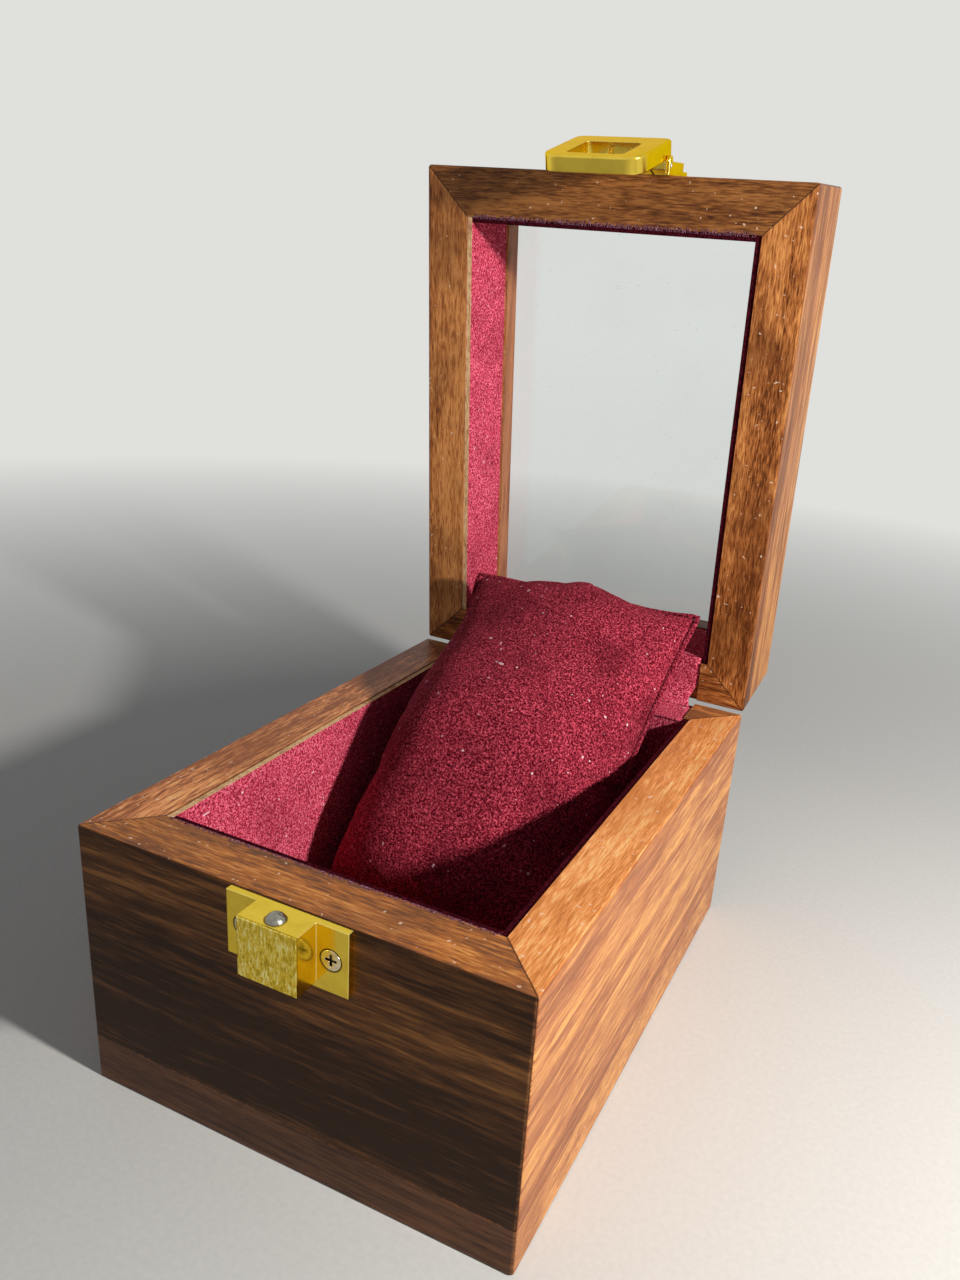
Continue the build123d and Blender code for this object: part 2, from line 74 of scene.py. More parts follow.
# the camera's axes, place and focal length, solved from the right angles of the box
CAMERA_RIGHT = Vector((0.90956, 0.40688, 0.08458))
CAMERA_DOWN = Vector((0.21430, -0.28482, -0.93432))
CAMERA_FORWARD = Vector((-0.35606, 0.86794, -0.34626))
CAMERA_PLACE = Vector((83.224, -159.712, 145.419)) * MM
FOCAL_PIXELS, PHOTO_HEIGHT = 991.82, 1280
SENSOR = 36

camera = bpy.data.objects.new("camera", bpy.data.cameras.new("camera"))
bpy.context.scene.collection.objects.link(camera)
camera.data.sensor_width = SENSOR
camera.data.lens = FOCAL_PIXELS * SENSOR / PHOTO_HEIGHT
camera.data.shift_x = -0.0603
camera.data.shift_y = 0.0063
camera.data.clip_start = 0.01
camera.data.clip_end = 20
turn = Matrix((CAMERA_RIGHT, -CAMERA_DOWN, -CAMERA_FORWARD)).transposed().to_4x4()
camera.matrix_world = Matrix.Translation(CAMERA_PLACE) @ turn
bpy.context.scene.camera = camera

# ---- colours and nodes -------------------------------------------------------------------------


def colour(r, g, b):
    """A linear colour from 0-255 sRGB values."""

    def linear(v):
        v /= 255
        return v / 12.92 if v <= 0.04045 else ((v + 0.055) / 1.055) ** 2.4

    return (linear(r), linear(g), linear(b), 1)


def tones(*triples):
    return tuple(colour(*t) for t in triples)


class NodeTree:
    """A node tree under construction. Inputs are values or other nodes' sockets."""

    def __init__(self, tree):
        self.tree = tree
        tree.nodes.clear()

    def add(self, kind, output=0, settings=None, **inputs):
        """Adds a node and returns an output. i0, i1 and so on name inputs by their place."""
        node = self.tree.nodes.new("ShaderNode" + kind)
        for key, value in (settings or {}).items():
            setattr(node, key, value)
        for key, value in inputs.items():
            place = key[1:]
            socket = node.inputs[int(place) if place.isdigit() else key.replace("_", " ")]
            self.put(socket, value)
        return node.outputs[output]

    def put(self, socket, value):
        if isinstance(value, bpy.types.NodeSocket):
            self.tree.links.new(value, socket)
        else:
            socket.default_value = value

    def math(self, operation, a, b=0.0, clamp=False):
        settings = {"operation": operation, "use_clamp": clamp}
        return self.add("Math", settings=settings, i0=a, i1=b)

    def plus(self, a, b):
        return self.math("ADD", a, b)

    def minus(self, a, b):
        return self.math("SUBTRACT", a, b)

    def times(self, a, b):
        return self.math("MULTIPLY", a, b)

    def larger(self, a, b):
        return self.math("MAXIMUM", a, b)

    def length(self, vector):
        settings = {"operation": "LENGTH"}
        return self.add("VectorMath", output="Value", settings=settings, i0=vector)

    def split(self, vector):
        """The x, y and z of a vector."""
        node = self.tree.nodes.new("ShaderNodeSeparateXYZ")
        self.tree.links.new(vector, node.inputs[0])
        return tuple(node.outputs)

    def mix(self, factor, a, b):
        """Colour a, and colour b where the factor is 1."""
        return self.add("Mix", output=2, settings={"data_type": "RGBA"}, i0=factor, i6=a, i7=b)

    def mix_shaders(self, factor, a, b):
        return self.add("MixShader", i0=factor, i1=a, i2=b)

    def ramp(self, factor, *stops):
        """Stops are pairs of a position and a number or a colour."""
        node = self.tree.nodes.new("ShaderNodeValToRGB")
        elements = node.color_ramp.elements
        while len(elements) < len(stops):
            elements.new(0.5)
        for element, (position, value) in zip(elements, stops):
            element.position = position
            element.color = value if isinstance(value, tuple) else (value,) * 3 + (1,)
        self.put(node.inputs[0], factor)
        return node.outputs[0]

    def place(self):
        return self.add("TexCoord", output="Object")

    def facing(self):
        """The object's own normal."""
        return self.add("TexCoord", output="Normal")

    def stretched(self, scale, offset=(0, 0, 0), turned=(0, 0, 0)):
        return self.add(
            "Mapping",
            Vector=self.place(),
            Location=offset,
            Rotation=turned,
            Scale=scale,
        )

    def noise(self, vector, scale, detail=4.0, roughness=0.55, distortion=0.0):
        return self.add(
            "TexNoise",
            Vector=vector,
            Scale=scale,
            Detail=detail,
            Roughness=roughness,
            Distortion=distortion,
        )

    def bevel(self, radius, samples):
        return self.add("Bevel", settings={"samples": samples}, Radius=radius)

    def flatness(self, bevel):
        """1 on a flat face, and less beside an edge, where the bevel turns the normal."""
        settings = {"operation": "DOT_PRODUCT"}
        normal = self.add("NewGeometry", output="Normal")
        return self.add("VectorMath", output="Value", settings=settings, i0=bevel, i1=normal)

    def bump(self, height, strength, distance, normal=None):
        inputs = {"Height": height, "Strength": strength, "Distance": distance}
        if normal is not None:
            inputs["Normal"] = normal
        return self.add("Bump", **inputs)

    def end(self, kind, shader):
        node = self.tree.nodes.new("ShaderNodeOutput" + kind)
        self.tree.links.new(shader, node.inputs[0])


class Shader(NodeTree):
    """A material under construction."""

    def __init__(self, name):
        self.material = bpy.data.materials.new(name)
        self.material.use_nodes = True
        super().__init__(self.material.node_tree)

    def finish(self, shader):
        self.end("Material", shader)
        return self.material

    def surface(self, **inputs):
        return self.finish(self.add("BsdfPrincipled", **inputs))


# ---- meshes ------------------------------------------------------------------------------------


def mesh_object(name, verts, faces, material, smooth=True):
    mesh = bpy.data.meshes.new(name)
    mesh.from_pydata([tuple(v) for v in verts], [], faces)
    mesh.validate()
    obj = bpy.data.objects.new(name, mesh)
    bpy.context.scene.collection.objects.link(obj)
    mesh.materials.append(material)
    for polygon in mesh.polygons:
        polygon.use_smooth = smooth
    return obj


def apply_modifiers(obj):
    graph = bpy.context.evaluated_depsgraph_get()
    graph.update()
    mesh = bpy.data.meshes.new_from_object(obj.evaluated_get(graph))
    obj.modifiers.clear()
    obj.data = mesh


def ring(middle, across, up, half_width, half_height, count):
    """Points evenly round an ellipse."""
    angles = [math.tau * k / count for k in range(count)]
    return [
        middle + across * (math.cos(angle) * half_width) + up * (math.sin(angle) * half_height)
        for angle in angles
    ]


def sleeve(a, b, size):
    """Faces between two rings of points, whose first points are a and b."""
    return [(a + k, a + (k + 1) % size, b + (k + 1) % size, b + k) for k in range(size)]


# ---- wood --------------------------------------------------------------------------------------

GRAIN_STRETCH, PORE_STRETCH = 0.07, 0.1  # scale along the grain, where it is 1 across it
GRAIN_TILT = (0.035, 0.05, 0.06)
SEED_STEP = (0.37, 0.61, 0.23)
FIGURE_SHARE, FINE_SHARE, HAIR_SHARE = 0.34, 0.38, 0.28
BROAD_SHARE, SPECKLE_SHARE = 0.5, 0.38
PORE_DEPTH, STREAK_DEPTH, WEAR_DEPTH, MITRE_DEPTH = 0.5, 0.45, 0.6, 0.8  # how strongly each shows
WOOD_ROUGHNESS, WOOD_UNEVENNESS = 0.38, 0.16
BODY_STOPS, RIM_STOPS = (0.40, 0.50, 0.59), (0.41, 0.50, 0.59)
MITRE_WOBBLE, MITRE_REACH = 0.12 * MM, 0.3 * MM
WORN_WOOD, MITRE_DARK, RIM_SPECK = tones((206, 128, 78), (30, 14, 8), (244, 214, 188))


def rim_colour(s, tone, speckle, cloud, rim):
    """A bare rim: speckled, with dark clouds and a few pale specks."""
    rim_tone = s.plus(s.times(tone, 1 - SPECKLE_SHARE), s.times(speckle, SPECKLE_SHARE))
    raw = s.ramp(rim_tone, *zip(RIM_STOPS, rim))
    raw = s.mix(s.ramp(cloud, (0.46, 0.0), (0.66, 0.55)), raw, rim[0])
    specks = s.noise(s.place(), scale=1300, detail=0)
    return s.mix(s.ramp(specks, (0.80, 0.0), (0.83, 0.6)), raw, RIM_SPECK)


def edge_wear(s):
    """Where an edge is worn: 1 on it and 0 away from it, broken up by noise."""
    edge = s.ramp(s.flatness(s.bevel(0.6 * MM, samples=4)), (0.80, 1.0), (0.985, 0.0))
    patches = s.noise(s.place(), scale=900, detail=4, roughness=0.7)
    return s.times(edge, s.ramp(patches, (0.44, 0.0), (0.66, 1.0)))


def mitre_line(s, lid):
    """A thin line down the mitres of a frame of four walls."""
    x, y, z = s.split(s.place())
    if lid:
        back = s.times(s.minus(y, HINGE.y), math.cos(LID_TILT))
        up = s.times(s.minus(z, HINGE.z), math.sin(LID_TILT))
        y = s.plus(s.minus(back, up), HINGE.y)
    side = s.minus(HALF_WIDTH, s.math("ABSOLUTE", x))
    end = s.minus(HALF_LENGTH, s.math("ABSOLUTE", y))
    wobble = s.times(s.minus(s.noise(s.place(), scale=400, detail=2), 0.5), MITRE_WOBBLE)
    off = s.math("ABSOLUTE", s.plus(s.minus(side, end), wobble))
    return s.ramp(s.math("DIVIDE", off, MITRE_REACH), (0.25, 1.0), (1.0, 0.0))


def wood(name, along, seed, body, rim, faces="up", mitre=True, streak=1.0, gloss=0.14):
    """Lacquered open-pored wood with its grain along the named axes, in (dark, mid, light) tones.

    rim has the tones of the face that looks up, to the front or to the right, as faces says.
    """
    s = Shader(name)
    squeeze = tuple(GRAIN_STRETCH if axis in along else 1 for axis in "XYZ")
    pore_squeeze = tuple(PORE_STRETCH if axis in along else 1 for axis in "XYZ")
    offset = tuple(seed * step for step in SEED_STEP)
    band_offset = (seed * 1.7, 0.3, 0.9)

    grain = s.stretched(squeeze, offset, GRAIN_TILT)
    figure = s.noise(grain, scale=150, detail=3, roughness=0.5, distortion=1.2)
    fine = s.noise(grain, scale=800, detail=5, roughness=0.62, distortion=0.3)
    hair = s.noise(grain, scale=1900, detail=3, roughness=0.6)
    level = s.stretched(squeeze, offset)
    broad = s.noise(level, scale=34, detail=2, roughness=0.5, distortion=0.6)
    tone = s.plus(s.times(figure, FIGURE_SHARE), s.times(fine, FINE_SHARE))
    tone = s.plus(tone, s.times(hair, HAIR_SHARE))
    tone = s.plus(tone, s.times(s.minus(broad, 0.5), BROAD_SHARE * streak))
    base = s.ramp(tone, *zip(BODY_STOPS, body))

    # short dark pores, and dark narrow streaks, along the grain
    pore_place = s.stretched(pore_squeeze, offset, GRAIN_TILT)
    pores = s.noise(pore_place, scale=2300, detail=2, roughness=0.5)
    pore = s.ramp(pores, (0.58, 0.0), (0.72, 1.0))
    base = s.mix(s.times(pore, PORE_DEPTH), base, body[0])
    band_place = s.stretched(squeeze, band_offset, GRAIN_TILT)
    bands = s.noise(band_place, scale=210, detail=2, roughness=0.4, distortion=0.8)
    band = s.ramp(bands, (0.54, 0.0), (0.66, 1.0))
    base = s.mix(s.times(band, STREAK_DEPTH * streak), base, body[0])

    # the rim's face, worn edges and mitres
    cloud = s.noise(s.place(), scale=48, detail=3, roughness=0.6)
    speckle = s.noise(s.stretched(pore_squeeze, offset), scale=3400, detail=2, roughness=0.6)
    x, y, z = s.split(s.facing())
    out = {"up": z, "front": s.times(y, -1.0), "right": x}[faces]
    raw = rim_colour(s, tone, speckle, cloud, rim)
    base = s.mix(s.ramp(out, (0.80, 0.0), (0.90, 1.0)), base, raw)
    base = s.mix(s.times(edge_wear(s), WEAR_DEPTH), base, WORN_WOOD)
    if mitre:
        line = s.times(mitre_line(s, lid=faces == "front"), MITRE_DEPTH)
        base = s.mix(line, base, MITRE_DARK)

    uneven = s.plus(pore, s.minus(cloud, 0.5))
    height = s.minus(s.times(fine, 0.5), s.times(pore, 0.7))
    normal = s.bump(height, 0.35, 0.08 * MM)
    waves = s.noise(s.place(), scale=210, detail=2, roughness=0.5)
    return s.surface(
        Base_Color=base,
        Roughness=s.plus(WOOD_ROUGHNESS, s.times(uneven, WOOD_UNEVENNESS)),
        Normal=s.bump(waves, 0.10, 0.4 * MM, normal),
        Specular_IOR_Level=gloss,
        Coat_Weight=0.03,
        Coat_Roughness=0.25,
    )


# ---- cloth and board ---------------------------------------------------------------------------

LINER = tones((108, 12, 34), (216, 62, 92), (255, 142, 166))
LINER_SEED = 1.0
LINT = colour(244, 206, 212)
VELVET_SHEEN = colour(255, 120, 140)
CARD = tones((186, 132, 82), (232, 190, 140), (246, 222, 180))
CARD_STAIN = colour(140, 62, 48)
DARK_EDGE = tones((34, 6, 12), (84, 22, 34))


def velvet_shader(s, deep, body, tip, seed):
    """Short-pile velvet: fine bright tips over a deep ground, with painted glints, brushed patches
    and sheen.
    """
    place = s.stretched((1, 1, 1), (seed, seed * 0.7, seed * 0.3))
    grain = s.noise(place, scale=2300, detail=2, roughness=0.75)
    glint_speck = s.noise(place, scale=4300, detail=1, roughness=0.5)
    brushed = s.noise(place, scale=75, detail=3, roughness=0.6, distortion=0.5)
    lint = s.noise(place, scale=950, detail=0)
    base = s.ramp(grain, (0.38, deep), (0.52, body), (0.66, tip))
    # painted glints: fine specks in the tip colour, where pile tips catch the light
    base = s.mix(s.times(s.ramp(glint_speck, (0.60, 0.0), (0.68, 1.0)), 0.7), base, tip)
    base = s.mix(s.ramp(brushed, (0.42, 0.0), (0.70, 0.4)), base, deep)
    base = s.mix(s.ramp(lint, (0.83, 0.0), (0.845, 0.9)), base, LINT)
    return s.add(
        "BsdfPrincipled",
        Base_Color=base,
        Roughness=0.95,
        Normal=s.bump(s.plus(grain, s.times(glint_speck, 0.6)), 1.0, 0.4 * MM),
        Sheen_Weight=0.10,
        Sheen_Roughness=0.4,
        Sheen_Tint=VELVET_SHEEN,
        Specular_IOR_Level=0.05,
    )


def velvet(name, deep, body, tip, seed):
    s = Shader(name)
    return s.finish(velvet_shader(s, deep, body, tip, seed))


def card_shader(s):
    """The raw edge of a liner board: layered cream card with stains."""
    layers = s.noise(s.stretched((1, 1, 0.2)), scale=2400, detail=3, roughness=0.6)
    patch = s.noise(s.place(), scale=260, detail=3, roughness=0.6)
    base = s.ramp(layers, *zip((0.3, 0.55, 0.8), CARD))
    base = s.mix(s.ramp(patch, (0.55, 0.0), (0.7, 0.6)), base, CARD_STAIN)
    normal = s.bump(layers, 0.6, 0.2 * MM)
    return s.add("BsdfPrincipled", Base_Color=base, Roughness=0.85, Normal=normal)


def dark_edge_shader(s):
    """The edge of a liner at the rim: dark and dull."""
    layers = s.noise(s.place(), scale=1600, detail=3, roughness=0.6)
    base = s.ramp(layers, *zip((0.35, 0.7), DARK_EDGE))
    return s.add("BsdfPrincipled", Base_Color=base, Roughness=1.0, Specular_IOR_Level=0.0)


def lined_board(name, edge_shader, lid):
    """Velvet, with another shader on the edge at the rim, which faces up or, on the lid, forward."""
    s = Shader(name)
    _, y, z = s.split(s.facing())
    out = s.times(y, -1.0) if lid else z
    patches = s.noise(s.place(), scale=600, detail=3, roughness=0.7)
    ragged = s.times(s.minus(patches, 0.5), 0.5)
    mask = s.ramp(s.plus(out, ragged), (0.55, 0.0), (0.65, 1.0))
    return s.finish(s.mix_shaders(mask, velvet_shader(s, *LINER, LINER_SEED), edge_shader(s)))


# ---- metal and glass ---------------------------------------------------------------------------

# the third brass colour is a painted highlight along the edges
BRASS, BRASS_SMEAR, BRASS_EDGE_HIGHLIGHT = tones((240, 208, 80), (184, 148, 48), (255, 238, 150))
BRASS_SHINE = colour(255, 226, 130)
# painted glint and painted shade for the ridges and grooves of the tool marks
RIB_GLINT, RIB_SHADE = tones((255, 244, 160), (132, 110, 36))
# painted shade for the gap round each screw head
GAP_SHADE = colour(52, 38, 16)
GAP_OFFSET, GAP_REACH = 0.05 * MM, 0.3 * MM
# the second colour here is painted shade for the screws' drive recess
PLATING, RECESS_SHADE = tones((206, 188, 140), (250, 240, 206)), colour(44, 34, 18)
STEEL = tones((112, 108, 98), (172, 168, 160))


def rib_marks(s, base, normal, node):
    """Adds upright tool marks on a node's foremost face to a normal, and painted glints and shade
    along them to a colour.
    """
    _, y, _ = s.split(s.place())
    depth = s.math("DIVIDE", s.minus(y, corners(node)[0].y), MM)
    on_face = s.ramp(depth, (0.1, 1.0), (0.3, 0.0))
    lines = s.noise(s.stretched((1, 1, 0.3)), scale=2000, detail=3, roughness=0.6, distortion=0.4)
    chips = s.noise(s.stretched((1, 1, 0.6)), scale=1700, detail=3, roughness=0.7)
    cut = s.plus(s.times(lines, 0.5), s.times(chips, 0.5))
    # painted glints where the marks stand high, painted shade where they are cut low
    light = s.times(s.ramp(cut, (0.50, 0.0), (0.60, 1.0)), on_face)
    dark = s.times(s.ramp(cut, (0.40, 0.5), (0.49, 0.0)), on_face)
    base = s.mix(dark, s.mix(light, base, RIB_GLINT), RIB_SHADE)
    return base, s.bump(s.times(cut, on_face), 0.8, 0.5 * MM, normal)


def screw_gaps(s, base, screws):
    """Adds a dark line of painted shade round the heads of a node of two screws, side by side, to a
    colour.
    """
    x, _, z = s.split(s.place())
    low, high = corners(screws)
    radius = (high.z - low.z) / 2
    for centre in (low.x + radius, high.x - radius):
        beside = s.add("CombineXYZ", X=s.minus(x, centre), Z=s.minus(z, low.z + radius))
        off = s.math("ABSOLUTE", s.minus(s.length(beside), radius + GAP_OFFSET))
        line = s.ramp(s.math("DIVIDE", off, GAP_REACH), (0.4, 0.9), (1.0, 0.0))
        base = s.mix(line, base, GAP_SHADE)
    return base


def brass(name, rough, screws=None, ribbed=None):
    """Polished brass with faint scratches, finger marks, and edges that catch the light and carry a
    painted highlight.

    screws names the node of the screws in it, and ribbed the node whose front has tool marks.
    """
    s = Shader(name)
    smear = s.noise(s.place(), scale=240, detail=4, roughness=0.6, distortion=0.4)
    brushing = s.stretched((1, 0.12, 1), turned=(0, 0, 0.5))
    hair = s.noise(brushing, scale=5200, detail=2, roughness=0.6)
    marks = s.ramp(hair, (0.60, 0.0), (0.68, 1.0))
    base = s.mix(s.ramp(smear, (0.42, 0.0), (0.75, 0.35)), BRASS, BRASS_SMEAR)
    roughness = s.plus(rough, s.times(s.minus(smear, 0.4), 0.18))
    roughness = s.math("ADD", roughness, s.times(marks, 0.06), clamp=True)
    bevel = s.bevel(0.3 * MM, samples=6)
    normal = s.bump(marks, 0.06, 0.03 * MM, bevel)
    dimples = s.noise(s.place(), scale=500, detail=2, roughness=0.5)
    normal = s.bump(dimples, 0.10, 0.1 * MM, normal)
    # painted highlight: a paler colour along the edges, where the bevel turns the normal
    base = s.mix(s.ramp(s.flatness(bevel), (0.80, 0.8), (0.98, 0.0)), base, BRASS_EDGE_HIGHLIGHT)
    if ribbed:
        base, normal = rib_marks(s, base, normal, ribbed)
    if screws:
        base = screw_gaps(s, base, screws)
    return s.surface(
        Base_Color=base,
        Metallic=1.0,
        Roughness=roughness,
        Normal=normal,
        Specular_Tint=BRASS_SHINE,
    )


def screw_metal(name):
    """Plated screws: paler than the fittings, with painted shade down in the drive recess."""
    s = Shader(name)
    smear = s.noise(s.place(), scale=900, detail=3, roughness=0.6)
    # painted shade: dark where ambient occlusion finds the drive recess
    settings = {"samples": 8}
    open_air = s.add("AmbientOcclusion", output="AO", settings=settings, Distance=0.9 * MM)
    base = s.ramp(smear, *zip((0.3, 0.7), PLATING))
    return s.surface(
        Base_Color=s.mix(s.ramp(open_air, (0.45, 0.9), (0.80, 0.0)), base, RECESS_SHADE),
        Metallic=1.0,
        Roughness=0.26,
        Normal=s.bump(smear, 0.2, 0.1 * MM, s.bevel(0.2 * MM, samples=6)),
    )


def steel(name):
    s = Shader(name)
    smear = s.noise(s.place(), scale=900, detail=3, roughness=0.6)
    return s.surface(
        Base_Color=s.ramp(smear, *zip((0.3, 0.7), STEEL)),
        Metallic=1.0,
        Roughness=s.plus(0.14, s.times(smear, 0.16)),
        Normal=s.bump(smear, 0.06, 0.1 * MM),
    )


def sheet_glass(name):
    """Clear glass that lets light through to what is behind it, with faint dust on it."""
    s = Shader(name)
    dust_places = s.noise(s.place(), scale=1500, detail=2, roughness=0.5)
    haze_places = s.noise(s.place(), scale=60, detail=4, roughness=0.6)
    dust = s.ramp(dust_places, (0.70, 0.0), (0.76, 0.5))
    haze = s.ramp(haze_places, (0.4, 0.0), (0.8, 0.03))
    glass = s.add(
        "BsdfPrincipled",
        Base_Color=colour(246, 250, 249),
        Roughness=0.02,
        IOR=1.5,
        Transmission_Weight=1.0,
    )
    clear = s.add("BsdfTransparent", Color=(0.96, 0.97, 0.97, 1))
    specks = s.add("BsdfDiffuse", Color=(0.8, 0.8, 0.78, 1))
    shadow = s.add("LightPath", output="Is Shadow Ray")
    diffuse = s.add("LightPath", output="Is Diffuse Ray")
    body = s.mix_shaders(s.larger(shadow, diffuse), glass, clear)
    return s.finish(s.mix_shaders(s.plus(s.times(dust, 0.35), haze), body, specks))


# ---- the imported parts --------------------------------------------------------------------------

# FRONT is painted shade: the front wall's tones, kept darker than SIDE for the shade it stands in
FRONT = tones((54, 33, 20), (96, 60, 33), (142, 94, 52))
SIDE = tones((64, 35, 20), (124, 74, 42), (174, 112, 67))
# LIT_SIDE is painted light: the right-facing walls' tones, kept lighter than SIDE for the lamp that
# falls on them
LIT_SIDE = tones((128, 74, 42), (164, 101, 59), (206, 146, 82))
BOARD = tones((52, 28, 17), (86, 52, 32), (116, 74, 46))
LID_OUT = tones((86, 46, 20), (142, 86, 46), (188, 132, 74))
RIM_FRONT = tones((112, 74, 54), (178, 108, 54), (224, 154, 88))
RIM_RIGHT = tones((200, 122, 62), (240, 156, 90), (255, 204, 138))
RIM_LEFT = tones((146, 82, 44), (244, 160, 98), (255, 212, 146))
RIM_LID = tones((90, 46, 20), (173, 104, 53), (220, 150, 86))
RIM_LID_TOP = tones((58, 28, 12), (116, 69, 33), (160, 104, 54))
PILLOW = tones((54, 2, 15), (138, 28, 47), (222, 90, 110))
THREAD = tones((48, 4, 14), (110, 22, 42), (160, 56, 76))
FIBRE = tones((84, 34, 52), (142, 82, 108), (206, 160, 182))


def dress(name, material):
    nodes[name].data.materials.clear()
    nodes[name].data.materials.append(material)


wood_of = {
    "base_front_wall": wood("wood_base_front", "X", 1, FRONT, RIM_FRONT, streak=1.2, gloss=0.08),
    "base_rear_wall": wood("wood_base_rear", "X", 2, SIDE, RIM_FRONT),
    "base_left_wall": wood("wood_base_left", "Y", 3, SIDE, RIM_LEFT, streak=2.0),
    "base_right_wall": wood("wood_base_right", "Y", 4, LIT_SIDE, RIM_RIGHT, streak=0.45),
    # painted light: the bottom board's right-facing face takes the LIT_SIDE tones
    "base_bottom_board": wood(
        "wood_bottom", "XY", 5, BOARD, LIT_SIDE, "right", mitre=False, streak=0.6
    ),
    "lid_front_wall": wood("wood_lid_front", "X", 6, SIDE, RIM_LID_TOP, "front"),
    "lid_rear_wall": wood("wood_lid_rear", "X", 7, SIDE, RIM_LID, "front"),
    "lid_left_wall": wood("wood_lid_left", "Z", 8, SIDE, RIM_LID, "front", streak=1.2),
    "lid_right_wall": wood(
        "wood_lid_right", "Z", 9, LID_OUT, RIM_LID, "front", streak=0.8, gloss=0.08
    ),
}
for name, material in wood_of.items():
    dress(name, material)

liner_velvet = velvet("velvet_liner", *LINER, LINER_SEED)
pillow_velvet = velvet("velvet_pillow", *PILLOW, 4.0)
thread_velvet = velvet("velvet_fibres", *THREAD, 2.0)
fibre_velvet = velvet("velvet_loose", *FIBRE, 3.0)
for part in ("base", "lid"):
    dress(f"{part}_left_liner", lined_board(f"liner_left_{part}", card_shader, part == "lid"))
    dark_edged = lined_board(f"liner_dark_edged_{part}", dark_edge_shader, part == "lid")
    for side in ("front", "rear", "right"):
        dress(f"{part}_{side}_liner", dark_edged)
dress("base_floor_liner", liner_velvet)

dress("catch_body", brass("brass_catch", 0.18, "catch_screws", "catch_body"))
dress("latch_mount", brass("brass_mount", 0.17, "latch_mount_screws"))
for name in ("latch_loop", "catch_plug"):
    dress(name, brass(f"brass_{name}", 0.14))
screw_brass = screw_metal("screw_plating")
for name in ("catch_screws", "latch_mount_screws", "latch_pins", "hinge_pins"):
    dress(name, screw_brass)
for part in ("base", "lid"):
    dress(f"{part}_hinge_screws", screw_brass)
    dress(f"{part}_hinge_leaves", screw_brass)
bright_steel = steel("steel_ball")
dress("catch_ball", bright_steel)
dress("catch_spring", bright_steel)
dress("lid_glass", sheet_glass("glass_lid"))

for node in nodes.values():
    for polygon in node.data.polygons:
        polygon.use_smooth = False

# ---- pillow ------------------------------------------------------------------------------------

LEAN, SLANT = math.radians(48), math.tan(math.radians(4.1))
ALONG = Vector((0, math.cos(LEAN), math.sin(LEAN)))
OUT = Vector((0, -math.sin(LEAN), math.cos(LEAN)))
PILLOW_MIDDLE = sum(corners("pillow"), Vector()) / 2
PILLOW_HALF = Vector((27.2, 42.0, 10.4)) * MM  # half its width, length and thickness, less the seam

# the flat bag, which is inflated at about 11 times its real size
BAG_WIDTH, BAG_LENGTH = 0.60, 0.91
BAG_PUFF, QUICK_PUFF = 0.012, 0.10  # how thick it starts, inflated later or not at all
COLUMNS, ROWS = 40, 60
INFLATE_FRAMES = 24

# its form: u runs from -1 at the left to 1 at the right, and v from -1 at the foot to 1 at the top
SIDE_PULL, END_PULL = 1.6 * MM, 1.2 * MM  # how far sides and ends pull in between the ears
INFLATED_SHARE = 0.3  # of the swell that comes from the inflated bag
SWELL_ACROSS, SWELL_TOP, SWELL_FOOT = 2.3, 3.0, 8.0  # higher is fuller towards the edge
BELLY, BELLY_LEAN, BELLY_RISE = 1.2, 0.3, (-1.2, 0.1)  # how much fuller it is towards foot and left
CROWN, CROWN_RISE = 3.8 * MM, (0.45, 0.95)  # how its top end bulges up
CROWN_AT, CROWN_LEFT, CROWN_RIGHT = 0.02, 0.52, 0.42
CROWN_UNDER, CROWN_LIFT = 0.25, 0.3
EAR_ACROSS, EAR_ALONG, EAR_RISE = 1.1 * MM, 0.8 * MM, (0.7, 1.0)  # its top left corner's shift
DENTS = ((-0.62, 0.30, 0.62, 0.34, 1.0), (0.66, 0.16, 0.72, 0.22, 0.5))  # u, spread, v, spread, share
DENT_DEPTH, SOFT_DEPTH = 1.1 * MM, 0.5 * MM

SEAM_WIDTH, SEAM_THICKNESS = 1.3 * MM, 0.9 * MM
SEAM_TUCK = 0.35 * MM  # how far it reaches under the cover
SEAM_RISE, SEAM_SPREAD, SEAM_WAVES = 0.25 * MM, 0.12 * MM, 160  # how it waves, and how often
SEAM_SIDES, THREAD_SIDES = 8, 5
STITCH_PITCH, STITCH_LENGTH, STITCH_SHARE = 2.1 * MM, 1.3 * MM, 0.62
STITCH_OUT, STITCH_UP, THREAD_RADIUS = 0.05 * MM, 0.1 * MM, 0.13 * MM


def in_place(across, along, out):
    """A point of the pillow's own frame, in the object's frame."""
    return PILLOW_MIDDLE + ACROSS * (across + SLANT * along) + ALONG * along + OUT * out


def smooth_step(value, low, high):
    part = min(max((value - low) / (high - low), 0.0), 1.0)
    return part * part * (3 - 2 * part)


def swell(value, power=2.4):
    return max(0.0, 1 - abs(value) ** power) ** 0.5


def hill(value, middle, spread):
    """The exponent of a bell curve."""
    return -(((value - middle) / spread) ** 2)


def flat_bag(puff):
    """Two layers of cloth that share their edge: points, faces, index and the edge's points."""
    points, index = [], {}
    for layer in (1, -1):
        for j in range(ROWS + 1):
            for i in range(COLUMNS + 1):
                edge = i in (0, COLUMNS) or j in (0, ROWS)
                if edge and layer < 0:
                    index[layer, i, j] = index[1, i, j]
                    continue
                u, v = 2 * i / COLUMNS - 1, 2 * j / ROWS - 1
                index[layer, i, j] = len(points)
                lift = layer * puff * swell(u) * swell(v)
                points.append(Vector((u * BAG_WIDTH / 2, v * BAG_LENGTH / 2, lift)))
    faces = []
    for layer in (1, -1):
        for j in range(ROWS):
            for i in range(COLUMNS):
                square = [(i, j), (i + 1, j), (i + 1, j + 1), (i, j + 1)]
                face = [index[layer, a, b] for a, b in square]
                faces.append(face if layer > 0 else face[::-1])
    border = [(i, 0) for i in range(COLUMNS)] + [(COLUMNS, j) for j in range(ROWS)]
    border += [(i, ROWS) for i in range(COLUMNS, 0, -1)] + [(0, j) for j in range(ROWS, 0, -1)]
    return points, faces, index, [index[1, a, b] for a, b in border]


